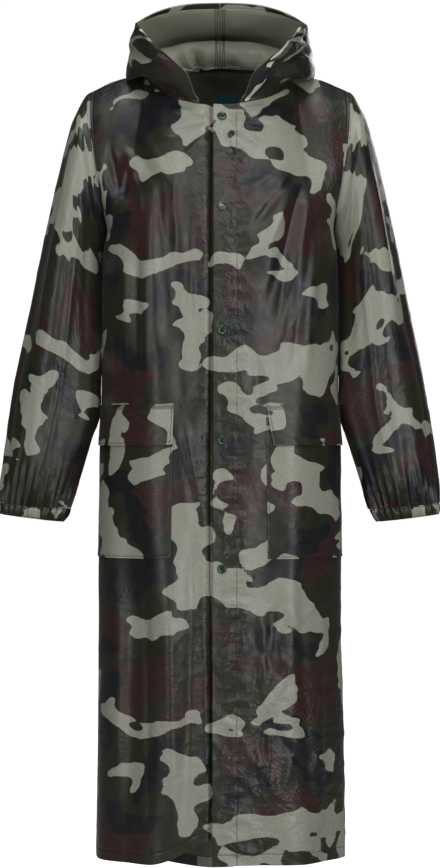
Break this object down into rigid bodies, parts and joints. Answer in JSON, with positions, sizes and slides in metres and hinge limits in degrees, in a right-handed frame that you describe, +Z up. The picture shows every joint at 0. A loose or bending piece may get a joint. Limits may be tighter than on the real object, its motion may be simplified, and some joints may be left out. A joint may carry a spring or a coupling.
{
  "type": "hooded raincoat",
  "caption": "Long hooded camouflage raincoat, snapped shut down the front, with set-in sleeves gathered at the cuffs and patch pockets with flaps, filled out as it hangs on a wearer.",
  "frame": {"origin": "point midway between the shoulders, level with the base of the neck, where a wearer's shoulders hold the coat", "axes": "+Z up, -Y to the coat's front, +X to the wearer's left"},
  "size_m": [0.7054, 0.3398, 1.3944],
  "materials": {
    "print_cloth": "semi-gloss coated nylon, camouflage print of grey-beige, olive, brown and blue-black",
    "cuff_cloth": "the same coated cloth, turned in and stitched",
    "snap": "glossy green enamel",
    "label": "woven, bare"
  },
  "bodies": {
    "root": {"back": "print_cloth", "front_left": "print_cloth", "front_right": "print_cloth", "sleeve_left": "print_cloth", "sleeve_right": "print_cloth", "cuff_left": "cuff_cloth", "cuff_right": "cuff_cloth", "hood_left": "print_cloth", "hood_right": "print_cloth", "hood_hem_left": "cuff_cloth", "hood_hem_right": "cuff_cloth", "pocket_left": "print_cloth", "pocket_right": "print_cloth", "flap_left": "print_cloth", "flap_right": "print_cloth", "snap_1": "snap", "snap_2": "snap", "snap_3": "snap", "snap_4": "snap", "snap_5": "snap", "neck_label": "label"}
  },
  "joints": []
}
